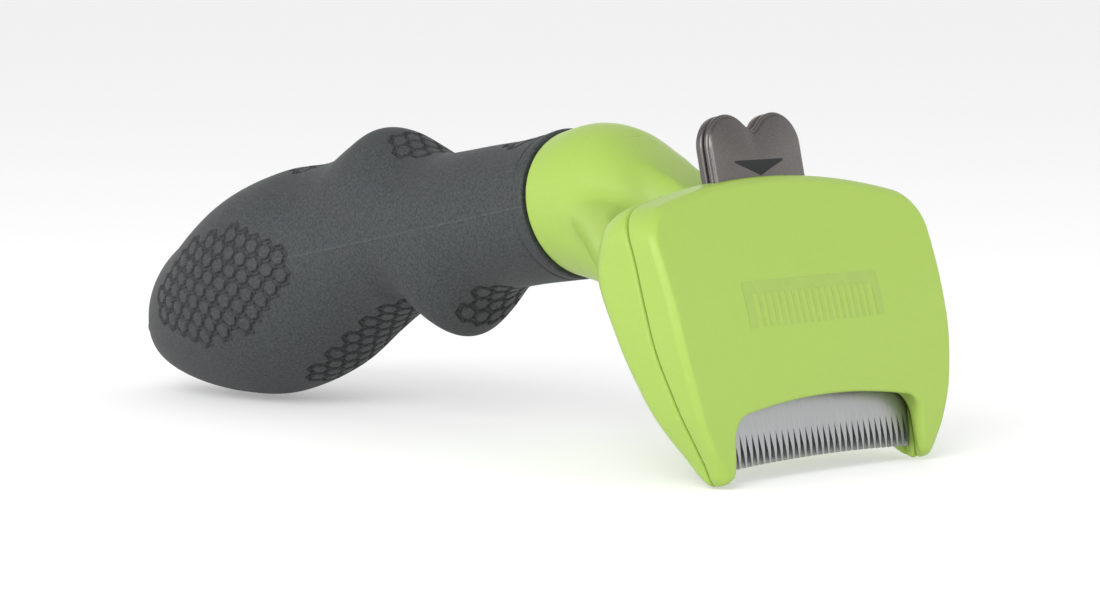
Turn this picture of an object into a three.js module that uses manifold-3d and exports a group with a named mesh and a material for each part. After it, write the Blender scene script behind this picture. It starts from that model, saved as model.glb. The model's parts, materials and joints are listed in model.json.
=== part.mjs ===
// Deshedding tool: a fine steel blade in a plastic head, with a spring-returned hair ejector
// worked by a thumb button, on a neck with a rubber-covered handle.
//
// Millimetres. X is across the blade, the head's front faces -Y, the handle runs to +Y, +Z is up.
// The tool rests on its two leg tips and the underside of the handle's tail, on Z = 0.

import * as THREE from 'three';
import { mergeVertices } from 'three/addons/utils/BufferGeometryUtils.js';
import Module from 'manifold-3d';

const wasm = await Module();
wasm.setup();

// ---------------------------------------------------------------- driving dimensions

const GAP = 0.3; // clearance between touching pieces
const CENTRE_Y = 85.78; // distance from the head's front datum to the middle of the tool
const WALL = 2.2; // head shell thickness

// Head
const FRONT_Y = 1.5; // front face at its foot
const FRONT_RADIUS = 92; // the front face bends back on this radius
const HEAD_TOP = 47;
const TOP_RADIUS = 115; // arch of the top edge
const SHOULDER = { x: 26.1, z: 37.5, radius: 6.5 };
const DRAFT = 0.06; // the head narrows this much to each side for every millimetre of depth
const SIDE_CURVE = [[24.4, 0], [26.5, 3], [28.1, 6.6], [29.9, 11.2], [31.1, 16.5], [31.9, 21.5], [32.3, 28],
  [32.6, 37.5]];
const REAR_CURVE = [[7.6, 0], [9.9, 3], [13.6, 8], [17, 14], [21.1, 22.6], [25, 34], [26.6, 47]];
const SEAM_CURVE = [[4.4, -1], [4.6, 2], [5.9, 8], [8.1, 14.4], [10.6, 21], [12.9, 29], [15.3, 37.3],
  [18.6, 43.4], [20.5, 50], [20.5, 60]];

// Window between the legs
const WINDOW_HALF = 21.6;
const WINDOW_SPRING = 11.2; // height of the arch at its ends
const WINDOW_CROWN = 12.8;
const WINDOW_CORNER = 3;

// Neck and rim, where the handle starts
const RIM = { y: 58.8, z: 40.4, halfWidth: 13.4, halfHeight: 12.4, pitch: THREE.MathUtils.degToRad(9.5) };
const NECK_TOP = [[14, 37], [20, 39.9], [26, 43.1], [31.4, 45.9], [36.6, 48.4], [42.2, 51.1], [48.5, 53.5],
  [54.4, 54.1]];
const NECK_BOTTOM = [[14, 17], [24, 20], [32, 22.8], [41, 25], [50, 27], [56, 28.1]];
const NECK_HALF = [[14, 9.5], [24, 9.2], [32, 9.4], [40, 10.8], [50, 13.1], [56, 13.3]];
const NECK = { top: NECK_TOP, bottom: NECK_BOTTOM, half: NECK_HALF, boxy: 1.6 };
const WINGS = { // they spread from the neck into the head, one on each side
  top: [[16, 38], [24, 38.5], [30, 40], [36, 42.4], [42, 46], [50, 51]],
  bottom: [[16, 18.5], [24, 21.5], [32, 24], [40, 26.5], [50, 29]],
  half: [[16, 24], [22, 25], [27, 23.8], [34, 20], [40, 16.6], [44, 14.4], [50, 12.4]],
  boxy: 0.5,
};
const BOXY = { behind: 50, over: 16 }; // ahead of this the neck's sections turn squarer
const NECK_WALL = 2.4;
const SOCKET_RADIUS = 8.8;
const SOCKET_FROM = -15; // along the handle's axis, from the rim

// Leaned plane of the blade and the ejector: u runs up along it, v is its normal to the rear
const LEAN = THREE.MathUtils.degToRad(13);
const LEAN_ORIGIN_Y = 3.41;

// Blade
const TEETH = 32;
const PITCH = 1.39;
const BLADE = { thick: 2, tip: 3, root: 7.9, top: 17.5, halfWidth: 22.9 };

// Ejector
const TRAVEL = 6.5;
const BUTTON = { halfWidth: 11, foot: 43.5, lobeX: 5.6, lobeU: 53.8, lobeRadius: 5.4, notch: 56.5 };
const WIPER = { front: 2.3, back: 3.3, foot: 9.3, top: 34.5, halfWidth: 20.3 };
const CROSSBAR = { front: 3.6, back: 7.9, foot: 31.3, top: 36, halfWidth: 19.5 };
const SHELF = { front: 3.9, foot: 17.2, top: 19.4, halfWidth: 18.5 };
const SPRING = { x: 14, v: 5.9, coilRadius: 1.6, wireRadius: 0.35, turns: 6 };
const PIN_RADIUS = 0.9;
const RIVET = { x: 6, u: 33.4, radius: 1 };
const CLAMP = { front: -2, back: -0.3, foot: 12.8, top: 19, halfWidth: 21 };

// Screws: x, height u, and where the head sits along v
const HEAD_SCREWS = [['upper_left', -24, 34, 10.8], ['upper_right', 24, 34, 10.8],
  ['lower_left', -24, 20, 8.4], ['lower_right', 24, 20, 8.4]];
const BLADE_SCREWS = [['left', -13], ['right', 13]];
const BLADE_SCREW_U = 14.9;
const CORE_SCREWS = [['front', 27], ['rear', 76]];

// Handle
const HANDLE_PITCH = THREE.MathUtils.degToRad(11); // the handle falls to the rear at this angle
const HANDLE_END = 115.2;
const TAIL_START = 81; // the rounded tail end begins here
const BELLY = 78; // the handle is widest here
const MOULD = { slope: 0.011, bend: 62, drop: 9.3 }; // widest line of each section, falling at the tail
const GRIP_START = 0.8;
const TOP_LINE = [[0, 12.9], [4, 12.6], [10, 12.4], [18, 12.7], [26, 12.9], [31, 13.2], [35, 14.4], [39, 17],
  [43, 19.4], [47, 20.2], [51, 18.9], [56, 16.8], [62, 16.2], [72, 16.6], [84, 14.7], [96, 10.6]];
const BOTTOM_LINE = [[0, -12.9], [4, -12.8], [14, -12.4], [20, -12.7], [24, -14.4], [28, -17.6], [31.5, -19.2],
  [35, -17.2], [38, -13], [41, -11.2], [45, -12.6], [50, -14], [58, -17.3], [68, -21.6], [80, -23.8],
  [92, -23.8]];
const WIDTH_LINE = [[0, 13.6], [20, 14.2], [38, 14.8], [52, 15.3], [60, 16.6], [68, 18.3], [78, 19.5]];

// Handle core, under the rubber: its spigot plugs into the neck's socket
const CORE_END = 98;
const CORE_WALL = 2.4;
const CORE_TOP = [[-14, 8.5], [0.5, 8.5], [4, 9.2], [60, 12], [85, 9.5], [98, 4]];
const CORE_BOTTOM = [[-14, -8.5], [0.5, -8.5], [4, -9], [41, -8.8], [50, -10.5], [74, -18], [85, -18], [98, -15]];
const CORE_HALF = [[-14, 8.5], [0.5, 8.5], [4, 9.6], [60, 12.4], [85, 13], [98, 9.5]];

// ---------------------------------------------------------------- materials

const greenPlastic = new THREE.MeshStandardMaterial({ color: 0xb0d464, roughness: 0.45, metalness: 0 });
const blackPlastic = new THREE.MeshStandardMaterial({ color: 0x2b2d2f, roughness: 0.5, metalness: 0 });
const rubber = new THREE.MeshStandardMaterial({ color: 0x4f5354, roughness: 0.85, metalness: 0 });
const steel = new THREE.MeshStandardMaterial({ color: 0xa2a5a8, roughness: 0.35, metalness: 1 });
const gunmetal = new THREE.MeshStandardMaterial({ color: 0x77716c, roughness: 0.4, metalness: 0.9 });

// ---------------------------------------------------------------- solid helpers

function solidOf(geometry) {
  const bare = geometry.clone();
  bare.deleteAttribute('normal');
  bare.deleteAttribute('uv');
  const merged = mergeVertices(bare, 1e-4);
  return new wasm.Manifold(new wasm.Mesh({
    numProp: 3,
    vertProperties: new Float32Array(merged.attributes.position.array),
    triVerts: new Uint32Array(merged.index.array),
  }));
}

function geometryOf(solid) {
  const mesh = solid.getMesh();
  const geometry = new THREE.BufferGeometry();
  geometry.setAttribute('position', new THREE.BufferAttribute(new Float32Array(mesh.vertProperties), 3));
  geometry.setIndex(new THREE.BufferAttribute(new Uint32Array(mesh.triVerts), 1));
  geometry.computeVertexNormals();
  return geometry;
}

// A closed body through rings of equal length, each ring a list of Vector3, capped flat.
function loft(rings) {
  const count = rings[0].length;
  const positions = [];
  const index = [];
  for (const ring of rings) for (const p of ring) positions.push(p.x, p.y, p.z);
  for (let i = 0; i < rings.length - 1; i++) {
    for (let j = 0; j < count; j++) {
      const a = i * count + j;
      const b = i * count + (j + 1) % count;
      index.push(a, b, b + count, a, b + count, a + count);
    }
  }
  const capEnd = (ringIndex, flip) => {
    const middle = new THREE.Vector3();
    for (const p of rings[ringIndex]) middle.add(p);
    middle.divideScalar(count);
    const centre = positions.length / 3;
    positions.push(middle.x, middle.y, middle.z);
    for (let j = 0; j < count; j++) {
      const a = ringIndex * count + j;
      const b = ringIndex * count + (j + 1) % count;
      index.push(...(flip ? [centre, a, b] : [centre, b, a]));
    }
  };
  capEnd(0, false);
  capEnd(rings.length - 1, true);
  const geometry = new THREE.BufferGeometry();
  geometry.setAttribute('position', new THREE.BufferAttribute(new Float32Array(positions), 3));
  geometry.setIndex(index);
  return geometry;
}

// A box given by its low and high corners.
function box(low, high) {
  const geometry = new THREE.BoxGeometry(high[0] - low[0], high[1] - low[1], high[2] - low[2]);
  return geometry.translate((low[0] + high[0]) / 2, (low[1] + high[1]) / 2, (low[2] + high[2]) / 2);
}

// A rod along the second axis, from one coordinate to another.
function rod(radius, x, z, from, to, sides = 16) {
  return new THREE.CylinderGeometry(radius, radius, to - from, sides).translate(x, (from + to) / 2, z);
}

// A rod along the third axis, from one coordinate to another.
function post(radius, x, y, from, to, sides = 16) {
  const geometry = new THREE.CylinderGeometry(radius, radius, to - from, sides);
  return geometry.rotateX(Math.PI / 2).translate(x, y, (from + to) / 2);
}

// A shape drawn in (x, z), given thickness along the second axis.
function upright(shape, from, to, curveSegments = 8) {
  const geometry = new THREE.ExtrudeGeometry(shape, { depth: to - from, bevelEnabled: false, curveSegments });
  const place = geometry.attributes.position;
  for (let i = 0; i < place.count; i++) {
    place.setXYZ(i, place.getX(i), to - place.getZ(i), place.getY(i));
  }
  return geometry;
}

// A shape drawn in (y, z), given width across X.
function across(shape, half) {
  const geometry = new THREE.ExtrudeGeometry(shape, { depth: 2 * half, bevelEnabled: false });
  const place = geometry.attributes.position;
  for (let i = 0; i < place.count; i++) {
    place.setXYZ(i, place.getZ(i) - half, place.getX(i), place.getY(i));
  }
  return geometry;
}

// Pieces of the head's mechanism are drawn in (x, v, u) and leaned back into place.
const leaned = (geometry) => geometry.rotateX(-LEAN).translate(0, LEAN_ORIGIN_Y, 0);

// Pieces of the handle are drawn in (x, s, h) and turned onto the handle's axis.
const onHandle = (geometry) => geometry.rotateX(-HANDLE_PITCH).translate(0, RIM.y, RIM.z);

const leanedSolid = (geometry) => solidOf(leaned(geometry));
const handleSolid = (geometry) => solidOf(onHandle(geometry));

// Smooth interpolation through [t, value] points.
function curveThrough(points) {
  const last = points.length - 1;
  const slopes = points.map((point, i) => {
    const before = points[Math.max(i - 1, 0)];
    const after = points[Math.min(i + 1, last)];
    return (after[1] - before[1]) / (after[0] - before[0]);
  });
  return (t) => {
    let i = 0;
    while (i < last - 1 && t > points[i + 1][0]) i++;
    const [t0, v0] = points[i];
    const [t1, v1] = points[i + 1];
    const step = t1 - t0;
    const f = Math.min(Math.max((t - t0) / step, 0), 1);
    const ease = 3 * f ** 2 - 2 * f ** 3;
    return v0 + (v1 - v0) * ease
      + slopes[i] * step * f * (1 - f) ** 2 - slopes[i + 1] * step * f ** 2 * (1 - f);
  };
}

const swap = (points) => points.map(([a, b]) => [b, a]);

// ---------------------------------------------------------------- head shells

const sideAt = curveThrough(swap(SIDE_CURVE));
const rearAt = curveThrough(swap(REAR_CURVE));
const seamAt = curveThrough(swap(SEAM_CURVE));
const frontAt = (z) => FRONT_Y + FRONT_RADIUS - Math.sqrt(FRONT_RADIUS ** 2 - z ** 2);

function halfWidthAt(z) {
  if (z <= SHOULDER.z) return sideAt(z);
  const top = Math.sqrt(Math.max(TOP_RADIUS ** 2 - (z - HEAD_TOP + TOP_RADIUS) ** 2, 0));
  const rise = z - SHOULDER.z;
  const corner = SHOULDER.x + Math.sqrt(Math.max(SHOULDER.radius ** 2 - rise ** 2, 0));
  return Math.min(corner, top);
}

// One level slice of the head: a rounded box between its front and rear faces.
function headSlice(z, inset) {
  const half = Math.max(halfWidthAt(z) - inset, 2);
  const front = frontAt(z) + inset;
  const rear = Math.max(rearAt(z) - inset, front + 2);
  const small = Math.min(1.6, (rear - front) / 3);
  const large = Math.min(5, (rear - front) / 2, half / 2);
  const behind = half - DRAFT * (rear - front) - large;
  const corners = [
    [half - small, front + small, small, -Math.PI / 2],
    [behind, rear - large, large, 0],
    [-behind, rear - large, large, Math.PI / 2],
    [-half + small, front + small, small, Math.PI],
  ];
  const ring = [];
  for (const [x, y, radius, start] of corners) {
    for (let k = 0; k <= 3; k++) {
      const angle = start + k * Math.PI / 6;
      ring.push(new THREE.Vector3(x + radius * Math.cos(angle), y + radius * Math.sin(angle), z));
    }
  }
  return ring;
}

const headLoft = (levels, inset) => solidOf(loft(levels.map((z) => headSlice(z, inset))));

function seamSide(sign) {
  const far = sign < 0 ? -20 : 90;
  const shape = new THREE.Shape();
  shape.moveTo(far, -5);
  for (let z = -5; z <= 60; z += 3.25) shape.lineTo(seamAt(z) + sign * GAP / 2, z);
  shape.lineTo(far, 60);
  return solidOf(across(shape, 40));
}

function windowCutter() {
  const corner = WINDOW_CORNER;
  const shape = new THREE.Shape();
  shape.moveTo(-WINDOW_HALF, -5);
  shape.lineTo(WINDOW_HALF, -5);
  shape.lineTo(WINDOW_HALF, WINDOW_SPRING - corner);
  shape.absarc(WINDOW_HALF - corner, WINDOW_SPRING - corner, corner, 0, Math.PI / 2);
  shape.quadraticCurveTo(0, 2 * WINDOW_CROWN - WINDOW_SPRING, -WINDOW_HALF + corner, WINDOW_SPRING);
  shape.absarc(-WINDOW_HALF + corner, WINDOW_SPRING - corner, corner, Math.PI / 2, Math.PI);
  return solidOf(upright(shape, -5, 40, 4));
}

// A flattened ring around the neck or its wings at a distance behind the head, inset from the outside.
function neckRing(part, y, inset) {
  const top = curveThrough(part.top)(y) - inset;
  const bottom = curveThrough(part.bottom)(y) + inset;
  const half = curveThrough(part.half)(y) - inset;
  const boxy = part.boxy * Math.min(Math.max((BOXY.behind - y) / BOXY.over, 0), 1);
  return roundRing(y, (top + bottom) / 2, half, (top - bottom) / 2, 0, 2 + boxy);
}

const neckLoft = (part, stations, inset) => solidOf(loft(stations.map((y) => neckRing(part, y, inset))));

// A ring of the neck; a power over 2 turns the ellipse into a rounded box.
function roundRing(y, z, half, height, pitch, power) {
  const ring = [];
  const spread = (value) => Math.sign(value) * Math.abs(value) ** (2 / power);
  for (let k = 0; k < 20; k++) {
    const angle = -k * Math.PI / 10;
    const up = height * spread(Math.sin(angle));
    const x = half * spread(Math.cos(angle));
    ring.push(new THREE.Vector3(x, y + up * Math.sin(pitch), z + up * Math.cos(pitch)));
  }
  return ring;
}

function neckOutside() {
  const rings = [16, 20, 25, 30, 35, 40, 45, 50].map((y) => neckRing(NECK, y, 0));
  rings.push(roundRing(RIM.y, RIM.z, RIM.halfWidth, RIM.halfHeight, RIM.pitch, 2));
  return solidOf(loft(rings)).add(neckLoft(WINGS, [17, 22, 26, 30, 34, 38, 42, 46, 50], 0));
}

function neckInside() {
  const stations = [19, 22, 26, 30, 35, 40, 45];
  return neckLoft(NECK, stations, NECK_WALL).add(neckLoft(WINGS, stations, NECK_WALL));
}

function mechanismRoom() {
  const blade = box([-BLADE.halfWidth - GAP, -GAP, -2], [BLADE.halfWidth + GAP, BLADE.thick + GAP, BLADE.top + GAP]);
  const wiper = box([-WIPER.halfWidth - GAP, BLADE.thick, -2],
    [WIPER.halfWidth + GAP, WIPER.back + GAP, WIPER.top + 1]);
  const clamp = box([-CLAMP.halfWidth - GAP, CLAMP.front - GAP, CLAMP.foot - GAP],
    [CLAMP.halfWidth + GAP, 0.5, CLAMP.top + GAP]);
  const button = box([-BUTTON.halfWidth - 0.5, 2.8, BUTTON.foot - TRAVEL - 1], [BUTTON.halfWidth + 0.5, 7, 70]);
  return [blade, wiper, clamp, button].map(leanedSolid).reduce((all, next) => all.add(next));
}

function headScrewParts() {
  const posts = [];
  const holes = [];
  for (const [, x, u, head] of HEAD_SCREWS) {
    posts.push(leanedSolid(rod(3.9, x, u, -5, 20, 14)));
    holes.push(leanedSolid(rod(1.5, x, u, -2.2, 20, 10)));
    holes.push(leanedSolid(rod(2.5, x, u, head - GAP, 20, 12)));
  }
  return { posts, holes };
}

function headShells() {
  const outside = headLoft([0, 0.8, 3, 7.6, 14, 20, 26, 32, 36.5, 39.5, 41.8, 43.4, 44.4, 45.4, 46.1, 46.5], 0);
  const inside = headLoft([14.6, 20, 26, 32, 36.5, 39.5, 41.2, 42.6, 43.6], WALL);
  const { posts, holes } = headScrewParts();
  const room = mechanismRoom();
  const window = windowCutter();
  const whole = outside.add(neckOutside());
  const withPosts = (shell) => posts.reduce((all, next) => all.add(next.intersect(whole)), shell);
  const withHoles = (shell) => holes.reduce((all, next) => all.subtract(next), shell);
  const front = withHoles(withPosts(outside.subtract(inside)).intersect(seamSide(-1)))
    .subtract(window).subtract(room);

  const shelf = leanedSolid(box([-SHELF.halfWidth, SHELF.front, SHELF.foot], [SHELF.halfWidth, 9.6, SHELF.top]));
  const pinHoles = [-1, 1].map((side) => leanedSolid(post(PIN_RADIUS + GAP, side * SPRING.x, SPRING.v, 16, 21, 12)));
  const socket = handleSolid(rod(SOCKET_RADIUS, 0, 0, SOCKET_FROM, 5, 24));
  const hollow = whole.subtract(inside).subtract(neckInside()).subtract(socket);
  let rear = withHoles(withPosts(hollow).add(shelf).intersect(seamSide(1)))
    .subtract(window).subtract(room);
  for (const hole of pinHoles) rear = rear.subtract(hole);
  return { front, rear };
}

// Screw with a pan head at its rear end, drawn along the leaned plane's normal.
function headScrew(x, u, head) {
  const shank = solidOf(rod(1.2, x, u, -1.9, head + 0.4, 10));
  const cap = solidOf(rod(2.2, x, u, head, head + 1.4, 14));
  return leaned(geometryOf(shank.add(cap)));
}

// ---------------------------------------------------------------- blade

function bladeOutline() {
  const { tip, root, top, halfWidth } = BLADE;
  const shape = new THREE.Shape();
  const first = -TEETH * PITCH / 2;
  const edge = (x) => tip - 0.7 * (x / halfWidth) ** 2;
  shape.moveTo(-halfWidth, top);
  shape.lineTo(-halfWidth, edge(halfWidth));
  for (let i = 0; i < TEETH; i++) {
    const x = first + (i + 0.5) * PITCH;
    shape.lineTo(x - 0.18, edge(x));
    shape.lineTo(x + 0.18, edge(x));
    if (i < TEETH - 1) shape.lineTo(x + PITCH / 2, root);
  }
  shape.lineTo(halfWidth, edge(halfWidth));
  shape.lineTo(halfWidth, top);
  return shape;
}

function blade() {
  let solid = solidOf(upright(bladeOutline(), 0, BLADE.thick));
  for (const [, x] of BLADE_SCREWS) {
    solid = solid.subtract(solidOf(rod(1.4, x, BLADE_SCREW_U, -1, 3, 12)));
    solid = solid.subtract(solidOf(rod(2.3, x, BLADE_SCREW_U, 0.8, 3, 12)));
  }
  return leaned(geometryOf(solid));
}

function bladeClamp() {
  let solid = solidOf(box([-CLAMP.halfWidth, CLAMP.front, CLAMP.foot], [CLAMP.halfWidth, CLAMP.back, CLAMP.top]));
  for (const [, x] of BLADE_SCREWS) {
    solid = solid.subtract(solidOf(rod(1.4, x, BLADE_SCREW_U, -1.5, 3, 12)));
  }
  return leaned(geometryOf(solid));
}

function bladeScrew(x) {
  const shank = solidOf(rod(1.1, x, BLADE_SCREW_U, -1.2, 1.4, 10));
  const cap = solidOf(rod(2, x, BLADE_SCREW_U, 1.1, 1.9, 14));
  return leaned(geometryOf(shank.add(cap)));
}

// ---------------------------------------------------------------- ejector

// Two-lobed button outline, drawn smaller by an inset.
function buttonOutline(inset) {
  const { halfWidth, foot, lobeX, lobeU, lobeRadius, notch } = BUTTON;
  const half = halfWidth - inset;
  const radius = lobeRadius - inset;
  const inner = Math.PI / 4;
  const shape = new THREE.Shape();
  shape.moveTo(-half, foot);
  shape.lineTo(half, foot);
  shape.absarc(lobeX, lobeU, radius, 0, Math.PI - inner);
  shape.quadraticCurveTo(1, notch - inset, 0, notch - inset);
  const rise = lobeU + radius * Math.sin(inner);
  shape.quadraticCurveTo(-1, notch - inset, -lobeX + radius * Math.cos(inner), rise);
  shape.absarc(-lobeX, lobeU, radius, inner, Math.PI);
  return shape;
}

function carriage() {
  const { front, back, foot, top, halfWidth } = CROSSBAR;
  let solid = solidOf(box([-halfWidth, front, foot], [halfWidth, back, top]));
  solid = solid.add(solidOf(box([-8, front, top - 1], [8, 6.4, BUTTON.foot - GAP])));
  for (const side of [-1, 1]) {
    solid = solid.subtract(solidOf(post(PIN_RADIUS + GAP, side * SPRING.x, SPRING.v, foot - 1, top + 1, 12)));
    solid = solid.subtract(solidOf(rod(RIVET.radius + GAP, side * RIVET.x, RIVET.u, 2, 6, 12)));
  }
  return leaned(geometryOf(solid));
}

function wiperPlate() {
  const { front, back, foot, top, halfWidth } = WIPER;
  let solid = solidOf(box([-halfWidth, front, foot], [halfWidth, back, top]));
  for (const side of [-1, 1]) {
    solid = solid.subtract(solidOf(rod(RIVET.radius + GAP, side * RIVET.x, RIVET.u, 2, 4, 12)));
  }
  return leaned(geometryOf(solid));
}

class SpringPath extends THREE.Curve {
  getPoint(t) {
    const angle = 2 * Math.PI * SPRING.turns * t;
    const low = SHELF.top + GAP + SPRING.wireRadius;
    const high = CROSSBAR.foot - GAP - SPRING.wireRadius;
    const { coilRadius } = SPRING;
    return new THREE.Vector3(coilRadius * Math.cos(angle), coilRadius * Math.sin(angle), low + t * (high - low));
  }
}

function returnSpring(x) {
  const wire = new THREE.Shape();
  wire.absarc(0, 0, SPRING.wireRadius, 0, 2 * Math.PI);
  const steps = SPRING.turns * 9;
  const geometry = new THREE.ExtrudeGeometry(wire, {
    extrudePath: new SpringPath(), steps, curveSegments: 3, bevelEnabled: false,
  });
  return leaned(geometry.translate(x, SPRING.v, 0));
}

// ---------------------------------------------------------------- handle

// A closed ring across the handle, widest at its middle height.
function handleRing(s, half, top, middle, bottom, sides) {
  const ring = [];
  for (let k = 0; k < sides; k++) {
    const angle = 2 * Math.PI * k / sides;
    const reach = k * 2 < sides ? top - middle : middle - bottom;
    ring.push(new THREE.Vector3(half * Math.cos(angle), s, middle + reach * Math.sin(angle)));
  }
  return ring.reverse();
}

const gripTop = curveThrough(TOP_LINE);
const gripBottom = curveThrough(BOTTOM_LINE);
const gripHalf = curveThrough(WIDTH_LINE);

// Part of the way from a place on the handle to its end, and the elliptical closing of the sections there.
const wayFrom = (start, s) => Math.max((s - start) / (HANDLE_END - start), 0);
const closing = (start, s) => Math.sqrt(Math.max(1 - wayFrom(start, s) ** 2, 0.0004));

function gripRing(s) {
  const middle = -MOULD.slope * Math.min(s, MOULD.bend) - MOULD.drop * wayFrom(MOULD.bend, s) ** 2;
  const scale = closing(TAIL_START, s);
  const top = middle + (gripTop(s) - middle) * scale;
  const bottom = middle + (gripBottom(s) - middle) * scale;
  return handleRing(s, gripHalf(s) * closing(BELLY, s), top, middle, bottom, 24);
}

function gripStations() {
  const stations = [];
  const straight = 28;
  for (let i = 0; i <= straight; i++) stations.push(GRIP_START + (TAIL_START - GRIP_START) * i / straight);
  for (let i = 1; i <= 7; i++) {
    stations.push(TAIL_START + (HANDLE_END - TAIL_START) * Math.sin(i * Math.PI / 14));
  }
  return stations;
}

function coreLoft(inset, from, to) {
  const stations = [from, 0.5, 4, 41, 50, 60, 74, 85, to];
  const half = curveThrough(CORE_HALF);
  const top = curveThrough(CORE_TOP);
  const bottom = curveThrough(CORE_BOTTOM);
  const rings = stations.map((s) => {
    const high = top(s) - inset;
    const low = bottom(s) + inset;
    return handleRing(s, half(s) - inset, high, (high + low) / 2, low, 14);
  });
  return handleSolid(loft(rings));
}

function gripOvermould() {
  const outside = handleSolid(loft(gripStations().map(gripRing)));
  return geometryOf(outside.subtract(coreLoft(-GAP, -14, CORE_END + GAP)));
}

function coreHalf(side) {
  const outside = coreLoft(0, -14, CORE_END);
  let solid = outside.subtract(coreLoft(CORE_WALL, -14, CORE_END - CORE_WALL));
  const low = side > 0 ? GAP / 2 : -40;
  const high = side > 0 ? 40 : -GAP / 2;
  for (const [, s] of CORE_SCREWS) {
    solid = solid.add(handleSolid(post(3.8, 0, s, -30, 30, 12)).intersect(outside));
    solid = solid.subtract(handleSolid(post(1.5, 0, s, -20, 6, 10)));
    solid = solid.subtract(handleSolid(post(2.8, 0, s, -25, -5.7, 12)));
  }
  return geometryOf(solid.intersect(handleSolid(box([-30, -20, low], [30, 120, high]))));
}

function coreScrew(s) {
  const shank = solidOf(post(1.2, 0, s, -6.5, 5.6, 10));
  const cap = solidOf(post(2.4, 0, s, -7.6, -6, 14));
  return onHandle(geometryOf(shank.add(cap)));
}

// ---------------------------------------------------------------- assembly

const tool = new THREE.Group();
tool.position.y = -CENTRE_Y;

function add(name, geometry, material) {
  const mesh = new THREE.Mesh(geometry, material);
  mesh.name = name;
  tool.add(mesh);
}

const shells = headShells();
add('front_cover', geometryOf(shells.front), greenPlastic);
add('rear_housing', geometryOf(shells.rear), greenPlastic);
for (const [place, x, u, head] of HEAD_SCREWS) add(`head_screw_${place}`, headScrew(x, u, head), steel);

add('blade', blade(), steel);
add('blade_clamp_bar', bladeClamp(), steel);
for (const [place, x] of BLADE_SCREWS) add(`blade_screw_${place}`, bladeScrew(x), steel);

add('ejector_button_face', leaned(upright(buttonOutline(0.35), 3.2, 4.5)), gunmetal);
add('ejector_button_back', leaned(upright(buttonOutline(0), 4.8, 6.6)), gunmetal);
add('ejector_carriage', carriage(), blackPlastic);
add('wiper_plate', wiperPlate(), steel);
for (const [place, side] of [['left', -1], ['right', 1]]) {
  add(`wiper_rivet_${place}`, leaned(rod(RIVET.radius, side * RIVET.x, RIVET.u, 2.4, 5.6, 12)), steel);
  add(`return_spring_${place}`, returnSpring(side * SPRING.x), steel);
  const pin = post(PIN_RADIUS, side * SPRING.x, SPRING.v, SHELF.foot + GAP, CROSSBAR.foot - 0.4, 12);
  add(`spring_guide_pin_${place}`, leaned(pin), steel);
}

add('handle_core_upper', coreHalf(1), blackPlastic);
add('handle_core_lower', coreHalf(-1), blackPlastic);
for (const [place, s] of CORE_SCREWS) add(`core_screw_${place}`, coreScrew(s), steel);
add('grip_overmould', gripOvermould(), rubber);

export default tool;
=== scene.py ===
"""Deshedding tool: the visible surfaces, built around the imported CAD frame.

Lengths below are in millimetres in the design axes: X across the blade, Y from the head's front datum
towards the handle's tail, Z up. The function in_frame() turns them into the frame's metres.
"""

import json
import math

import bpy
import numpy as np
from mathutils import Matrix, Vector


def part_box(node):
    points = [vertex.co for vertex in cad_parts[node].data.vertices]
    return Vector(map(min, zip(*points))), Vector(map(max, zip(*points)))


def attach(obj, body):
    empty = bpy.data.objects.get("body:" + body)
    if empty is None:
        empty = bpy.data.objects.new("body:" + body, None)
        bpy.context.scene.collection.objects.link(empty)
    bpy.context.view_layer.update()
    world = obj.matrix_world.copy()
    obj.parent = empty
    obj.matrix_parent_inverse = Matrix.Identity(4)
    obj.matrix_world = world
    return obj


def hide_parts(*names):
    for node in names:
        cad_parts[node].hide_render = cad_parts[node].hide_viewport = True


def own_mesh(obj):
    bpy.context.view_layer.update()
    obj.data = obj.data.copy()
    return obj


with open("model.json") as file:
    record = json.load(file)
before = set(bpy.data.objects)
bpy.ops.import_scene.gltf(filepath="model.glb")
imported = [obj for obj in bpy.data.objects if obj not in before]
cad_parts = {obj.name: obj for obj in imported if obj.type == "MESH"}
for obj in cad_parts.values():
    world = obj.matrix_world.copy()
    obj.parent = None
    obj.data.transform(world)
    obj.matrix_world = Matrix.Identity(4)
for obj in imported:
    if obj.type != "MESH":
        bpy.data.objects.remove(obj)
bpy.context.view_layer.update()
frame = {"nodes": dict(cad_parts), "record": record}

MM = 0.001
FRONT_Y = 1.5                 # the front cover's foot, behind the datum
DATUM_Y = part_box("front_cover")[0].y / MM - FRONT_Y

# Head
FRONT_RADIUS = 92.0
HEAD_TOP = 47.0
TOP_RADIUS = 115.0
SHOULDER_X, SHOULDER_RADIUS = 26.1, 6.5
SIDE_POINTS = [(24.1, -0.3), (25.2, 0.2), (25.9, 1.4), (26.7, 3.6), (28.1, 6.6), (29.9, 11.2), (31.1, 16.5),
               (31.9, 21.5), (32.3, 28), (32.6, 37.3)]
REAR_POINTS = [(7.6, 0), (9.9, 3), (13.6, 8), (17, 14), (21.1, 22.6), (25, 34), (26.6, 47)]
SEAM_POINTS = [(4.4, -1), (4.6, 2), (5.9, 8), (8.1, 14.4), (10.6, 21), (12.9, 29), (15.3, 37.3), (18.6, 43.4),
               (20.5, 50), (20.5, 60)]
DRAFT = 0.06                  # the head narrows towards the rear by this much per millimetre of depth
BEVEL, TOE_BEVEL = 0.85, 1.9  # along the front edge, and at the tips of the legs
TOE_HEIGHT = 7.0
WALL = 2.2
HOLLOW_FOOT = 14.6            # the head is hollow above this height
SEAM_GAP, SEAM_ROUND = 0.26, 0.55
COVER_CELL, HOUSING_CELL = 0.22, 0.3   # sampling steps of the two shells

# Window between the legs
WINDOW_HALF, WINDOW_SPRING, WINDOW_CROWN, WINDOW_CORNER = 21.6, 11.2, 12.8, 3.0

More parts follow.
